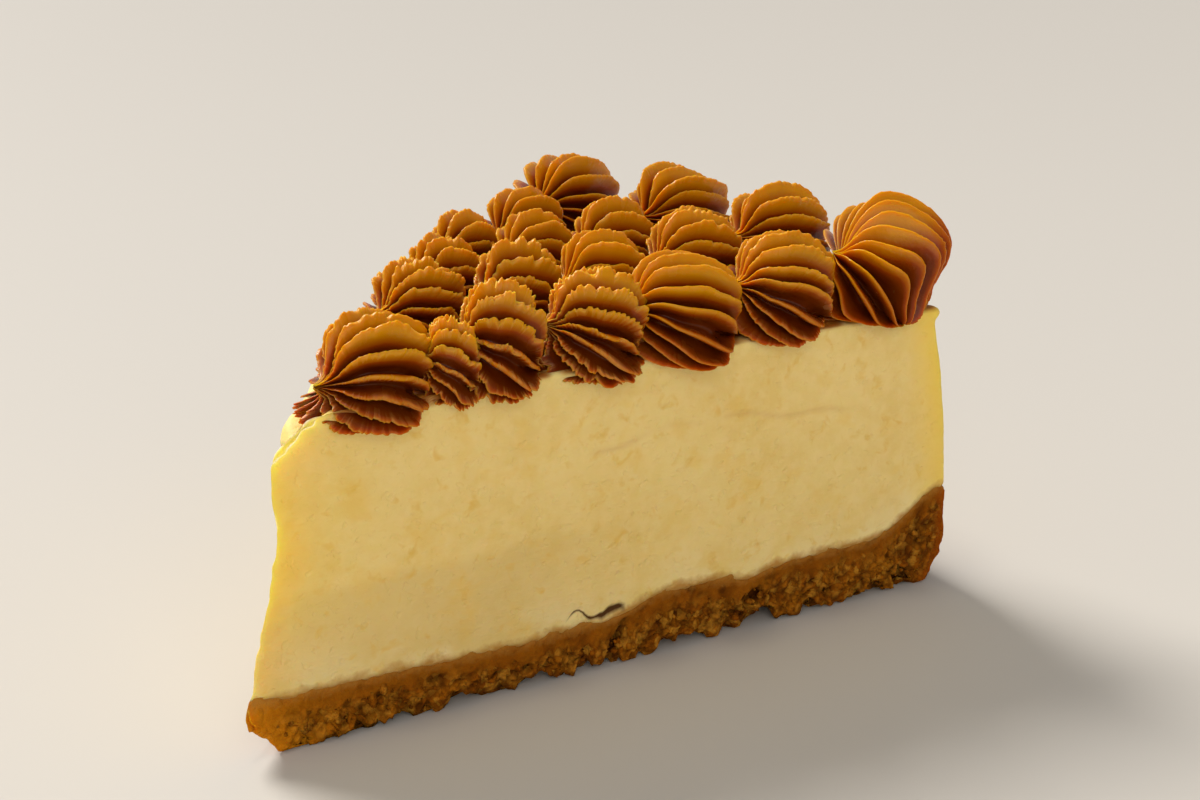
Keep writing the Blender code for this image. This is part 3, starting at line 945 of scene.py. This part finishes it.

# %% [markdown]
# ## Filling finish
# Baked cream cheese is pale warm yellow and lets light a little way in, so thin edges glow and no
# shadow is hard. Its tone drifts in broad patches with fine curd in them, deeper yellow clouds and
# flecks, a chalky paleness low down and a darker lower left.

# %% Filling colour
CREAM, LIGHT_CREAM, CURD = (0.85, 0.61, 0.195), (0.90, 0.675, 0.250), (0.93, 0.71, 0.29)
LOW_LEFT_DARK_CREAM, CHALK = (0.72, 0.515, 0.185), (0.95, 0.79, 0.43)
CLOUD_YELLOW, FLECK_YELLOW = (0.86, 0.54, 0.09), (0.80, 0.47, 0.060)
filling_finish, tree, shader = start_material(
    "baked_cream_cheese",
    0.52,
    Subsurface_Weight=0.45,
    Subsurface_Radius=(1.0, 0.55, 0.2),
    Subsurface_Scale=0.0032,
    Specular_IOR_Level=0.22,
)
place = object_place(tree)
broad = noise(tree, place, 55, 4)
fine = noise(tree, place, 420, 4)
colour = blend(tree, spread(tree, broad, 0.35, 0.65), CREAM, LIGHT_CREAM)
colour = blend(tree, spread(tree, fine, 0.40, 0.62, 0, 0.5), colour, CURD)
# Darker cream low on the left of the front face.
colour = blend(tree, mark(tree, "low_left_dark", 0.5), colour, LOW_LEFT_DARK_CREAM)
low_down = spread(tree, number_from_mesh(tree, "above_base"), 1, 9, 0.45, 0)
chalky = maths(tree, "MULTIPLY", spread(tree, noise(tree, place, 120, 3), 0.42, 0.62), low_down)
colour = blend(tree, chalky, colour, CHALK)
clouds = spread(tree, noise(tree, place, 150, 3, 0.6, 0.4), 0.54, 0.74, 0, 0.45)
colour = blend(tree, clouds, colour, CLOUD_YELLOW)
flecks = spread(tree, noise(tree, place, 380, 3, 0.5, 0.5), 0.60, 0.76, 0, 0.60)
colour = blend(tree, flecks, colour, FLECK_YELLOW)
print("cream in", len(tree.nodes), "nodes so far")

# %% [markdown]
# Over that go the marks that ride on the skin: painted shade in the crease, the tip's yellow with a
# painted glow through it, baked rim, painted rim light on the tip's far edge, soaked caramel with
# painted shade under the shells, the brown line where cream meets crumb, and last painted shade in
# the crack, darkest along its middle.

# %% Filling marks on the colour
CREASE_SHADE_TAN, TIP_GLOW_YELLOW, RIM_YELLOW = (0.66, 0.38, 0.12), (0.93, 0.67, 0.085), (0.98, 0.66, 0.085)
EDGE_RIM_LIGHT, SOAKED_AND_SHADED_BROWN = (0.97, 0.84, 0.50), (0.33, 0.10, 0.008)
CRUMB_BROWN, CRACK_SHADE_BROWN = (0.50, 0.222, 0.034), (0.085, 0.028, 0.0005)
# Painted shade along the knife crease.
colour = blend(tree, mark(tree, "crease", 0.30), colour, CREASE_SHADE_TAN)
# The tip's yellow, with a painted glow as if light passed through the thin tip.
colour = blend(tree, mark(tree, "tip_glow", 0.95), colour, TIP_GLOW_YELLOW)
patchy = spread(tree, broad, 0.35, 0.65, 0.5, 1)
skin_share = maths(tree, "MULTIPLY", number_from_mesh(tree, "rim_skin"), patchy)
colour = blend(tree, skin_share, colour, RIM_YELLOW)
# Painted rim light on the tip's far edge.
colour = blend(tree, mark(tree, "tip_rim", 0.4), colour, EDGE_RIM_LIGHT)
# Soaked caramel, with painted shade under the shells.
colour = blend(tree, number_from_mesh(tree, "caramel_soak_and_shade"), colour, SOAKED_AND_SHADED_BROWN)
frayed = spread(tree, fine, 0.3, 0.7, -0.6, 0.6)
ragged = maths(tree, "ADD", number_from_mesh(tree, "above_base"), frayed)
colour = blend(tree, spread(tree, ragged, 0.1, 1.4, 0.9, 0), colour, CRUMB_BROWN)
# Painted shade in the crack, darkest along its middle.
gap = maths(tree, "ABSOLUTE", number_from_mesh(tree, "crack_gap"), 0.0)
gap = maths(tree, "ADD", gap, spread(tree, broad, 0.40, 0.60, -0.22, 0.22))
open_here = number_from_mesh(tree, "crack_reach")
crack = maths(tree, "MULTIPLY", spread(tree, gap, 0.12, 0.62, 1.0, 0), open_here)
colour = blend(tree, crack, colour, CRACK_SHADE_BROWN)
tree.links.new(colour, shader.inputs["Base Color"])
print("marked in", len(tree.nodes), "nodes so far")

# %% [markdown]
# The cut face carries short slanting knife strokes finer than a hair, and small pits. The strokes
# come from noise on coordinates that are stretched along the knife's way.

# %% Filling surface
strokes_way = add(
    tree,
    "ShaderNodeMapping",
    {"Vector": place, "Rotation": (0.0, np.radians(16), np.radians(22.5)), "Scale": (260, 900, 1500)},
).outputs["Vector"]
strokes = noise(tree, strokes_way, 1.0, 3, 0.6)
pits = spread(tree, noise(tree, place, 700, 2), 0.30, 0.42)
height = maths(tree, "ADD", maths(tree, "MULTIPLY", strokes, 0.7), maths(tree, "MULTIPLY", pits, 0.5))
height = maths(tree, "ADD", height, fine)
bump(tree, shader, height, 0.00022, 0.8)
give([filling], filling_finish)

# %% [markdown]
# ## Biscuit finish
# Crushed biscuit is many browns at once: golden lumps and pale specks of flour, with painted shade in
# its creases, holes and split. Numbers from the mesh put that painted shade in the creases. A pattern
# of cells, pushed about by noise, gives every small crumb its own tone and paints shade in the gaps
# between crumbs, but only where the base isn't packed.

# %% Biscuit crumbs
CREASE_SHADE_DARK, BISCUIT, LIGHT_BISCUIT = (0.046, 0.010, 0.0004), (0.33, 0.094, 0.003), (0.47, 0.170, 0.008)
GOLDEN, GAP_SHADE_DARK, GRAIN_DARK = (0.59, 0.265, 0.026), (0.075, 0.018, 0.0006), (0.080, 0.023, 0.001)
biscuit_finish, tree, shader = start_material(
    "biscuit_crumb",
    0.85,
    Subsurface_Weight=0.25,
    Subsurface_Radius=(1.0, 0.45, 0.1),
    Subsurface_Scale=0.0012,
    Specular_IOR_Level=0.05,
)
place = object_place(tree)
grain = noise(tree, place, 900, 4, 0.65)
patch = noise(tree, place, 240, 3)
push = add(tree, "ShaderNodeTexNoise", {"Vector": place, "Scale": 520, "Detail": 3}).outputs["Color"]
pushed = add(tree, "ShaderNodeVectorMath", {0: push, "Scale": 0.0018}, operation="SCALE").outputs[0]
crumbs_at = add(tree, "ShaderNodeVectorMath", {0: place, 1: pushed}, operation="ADD").outputs[0]
crumbs_seen = add(tree, "ShaderNodeTexVoronoi", {"Vector": crumbs_at, "Scale": 820})
crumb_tone, from_crumb = crumbs_seen.outputs["Color"], crumbs_seen.outputs["Distance"]
packed = number_from_mesh(tree, "packed_band")
loose = spread(tree, packed, 0, 1, 1, 0.22)
# Painted shade in creases, holes and the split, from the crag number.
colour = blend(tree, spread(tree, number_from_mesh(tree, "crag"), 0.1, 0.75), CREASE_SHADE_DARK, BISCUIT)
colour = blend(tree, spread(tree, patch, 0.45, 0.70, 0, 0.6), colour, LIGHT_BISCUIT)
golden = maths(tree, "MULTIPLY", spread(tree, crumb_tone, 0.45, 0.85, 0, 0.65), loose)
colour = blend(tree, golden, colour, GOLDEN)
# Painted shade in the gaps between crumbs.
gaps = maths(tree, "MULTIPLY", spread(tree, from_crumb, 0.42, 0.80, 0, 0.65), loose)
colour = blend(tree, gaps, colour, GAP_SHADE_DARK)
colour = blend(tree, spread(tree, grain, 0.35, 0.5, 0.5, 0), colour, GRAIN_DARK)
print("crumbs in", len(tree.nodes), "nodes so far")

# %% [markdown]
# The packed band has soaked up butter and is darker and smoother. The tin's side is baked darker, the
# tip catches the light, and the top edge is smeared with cream.

# %% Biscuit marks and surface
BUTTERED, BAKED = (0.26, 0.074, 0.0016), (0.34, 0.068, 0.001)
TIP_GOLD, SMEARED_TAN = (0.76, 0.262, 0.005), (0.46, 0.205, 0.034)
colour = blend(tree, spread(tree, packed, 0, 1, 0, 0.6), colour, BUTTERED)
colour = blend(tree, mark(tree, "tin_side", 0.7), colour, BAKED)
colour = blend(tree, mark(tree, "tip_lit", 0.80), colour, TIP_GOLD)
frayed = spread(tree, grain, 0.3, 0.7, -0.6, 0.6)
smear = maths(tree, "ADD", number_from_mesh(tree, "below_cream"), frayed)
colour = blend(tree, spread(tree, smear, -0.5, 1.3, 0.75, 0), colour, SMEARED_TAN)
tree.links.new(colour, shader.inputs["Base Color"])
raised = maths(tree, "MULTIPLY", spread(tree, from_crumb, 0, 0.8, 1.4, 0), loose)
bump(tree, shader, maths(tree, "ADD", maths(tree, "ADD", grain, patch), raised), 0.0005, 0.9)
give([crumb_base, loose_crumbs], biscuit_finish)

# %% [markdown]
# ## Caramel finish
# Thick cooked milk caramel is glossy and lets red light through. A fin's thin edge gets a painted
# golden glow, as if light passed it, and a groove painted shade, nearly black-brown. The fin number
# from the mesh drives that, and torn edges are rougher and paler. Beside each tail a pale painted
# sheen stands for the window's reflection. A coat on top would look like plastic, so there is none.

# %% Caramel material
GROOVE_SHADE_BROWN, FIN_BROWN, EDGE_GLOW_GOLD = (0.045, 0.0016, 0.0002), (0.37, 0.060, 0.0005), (0.62, 0.288, 0.0008)
MOTTLE_BROWN, TORN_TAN, PAINTED_SHEEN_TAN = (0.34, 0.080, 0.0008), (0.66, 0.34, 0.060), (0.60, 0.33, 0.16)
caramel_finish, tree, shader = start_material(
    "piped_milk_caramel",
    0.30,
    Subsurface_Weight=0.75,
    Subsurface_Radius=(1.0, 0.48, 0.06),
    Subsurface_Scale=0.0014,
    Specular_IOR_Level=0.17,
)
place = object_place(tree)
glow = number_from_mesh(tree, "fin_glow")
torn = number_from_mesh(tree, "fin_torn")
mottle = noise(tree, place, 180, 3)
grit = noise(tree, place, 1500, 3)
# Painted light and shade: groove shade, then brown fins, then a golden glow on lit edges.
colour = blend(tree, spread(tree, glow, 0.0, 0.34), GROOVE_SHADE_BROWN, FIN_BROWN)
colour = blend(tree, spread(tree, glow, 0.28, 0.76), colour, EDGE_GLOW_GOLD)
colour = blend(tree, spread(tree, mottle, 0.40, 0.7, 0, 0.20), colour, MOTTLE_BROWN)
colour = blend(tree, spread(tree, torn, 0, 1, 0, 0.5), colour, TORN_TAN)
# Painted sheen: the window's reflection beside each tail.
colour = blend(tree, mark(tree, "tail_painted_sheen", 0.75), colour, PAINTED_SHEEN_TAN)
tree.links.new(colour, shader.inputs["Base Color"])
rough = spread(tree, maths(tree, "ADD", mottle, torn), 0.3, 1.4, 0.20, 0.45)
tree.links.new(rough, shader.inputs["Roughness"])
bump(tree, shader, maths(tree, "ADD", maths(tree, "MULTIPLY", grit, 0.4), mottle), 0.00025, 0.5)
give(shells, caramel_finish)

# %% [markdown]
# ## Stage
# A plain pale floor, a hair below the base so that the two faces don't flicker.

# %% Floor
bpy.ops.mesh.primitive_plane_add(size=6, location=(0, 0, -0.00005))
floor = bpy.context.object
floor.name = "floor"
floor_finish, tree, shader = start_material("pale_floor", 0.7, Specular_IOR_Level=0.2)
shader.inputs["Base Color"].default_value = (0.555, 0.535, 0.505, 1)
give([floor], floor_finish)

# %% [markdown]
# ## Light
# The main light comes from behind on the left, as through a wide window. It skims the fins, so their
# edges light up and their near sides stay brown. A small ceiling lamp adds glints, and a large weak
# one in front fills the shadows.

# %% Light
LIGHT_AIM = Vector((0, 0, 0.035))


def soft_light(name, kind, place, power, colour, **settings):
    """A light at place, turned to face the slice: its own settings are size for AREA, angle for SUN."""
    lamp = bpy.data.lights.new(name, kind)
    lamp.energy, lamp.color = power, colour
    for key, value in settings.items():
        setattr(lamp, key, value)
    made = bpy.data.objects.new(name, lamp)
    bpy.context.scene.collection.objects.link(made)
    made.location = place
    made.rotation_euler = (LIGHT_AIM - made.location).to_track_quat("-Z", "Y").to_euler()
    return made


soft_light("window", "SUN", (0.16, 0.80, 0.80), 3.7, (1.0, 0.95, 0.88), angle=np.radians(26))
soft_light("ceiling", "AREA", (-0.12, 0.02, 0.80), 0.6, (1.0, 0.96, 0.90), size=0.10)
soft_light("front_fill", "AREA", (-0.70, -0.75, 0.50), 4.2, (1.0, 0.95, 0.88), size=0.9)
world = bpy.data.worlds.new("studio")
bpy.context.scene.world = world
world.use_nodes = True
world.node_tree.nodes["Background"].inputs["Color"].default_value = (1.0, 0.97, 0.93, 1)
world.node_tree.nodes["Background"].inputs["Strength"].default_value = 0.35
bpy.context.scene.view_settings.view_transform = "Standard"
print(len(bpy.data.lights), "lights and a dim studio round them")

# %% [markdown]
# ## Camera
# The camera looks across the front cut from a little above the slice's top, with a 52 mm lens. It is
# aimed by the way it looks, so that it can be set from the picture's own lines.

# %% Camera
LENS_LENGTH, FILM_WIDTH = 51.84, 36
LOOKS_DOWN = np.radians(19.4)
LOOKS_ALONG = (0.785, 0.620)
lens = bpy.data.cameras.new("camera")
lens.sensor_width = FILM_WIDTH
lens.lens = LENS_LENGTH
lens.clip_start = 0.01
camera = bpy.data.objects.new("camera", lens)
bpy.context.scene.collection.objects.link(camera)
camera.location = (-0.1885, -0.1617, 0.1223)
level = np.cos(LOOKS_DOWN)
sight = Vector((LOOKS_ALONG[0] * level, LOOKS_ALONG[1] * level, -np.sin(LOOKS_DOWN)))
camera.rotation_euler = sight.to_track_quat("-Z", "Y").to_euler()
bpy.context.scene.camera = camera
print("camera", round(camera.location.length / MM), "mm from the slice's middle")
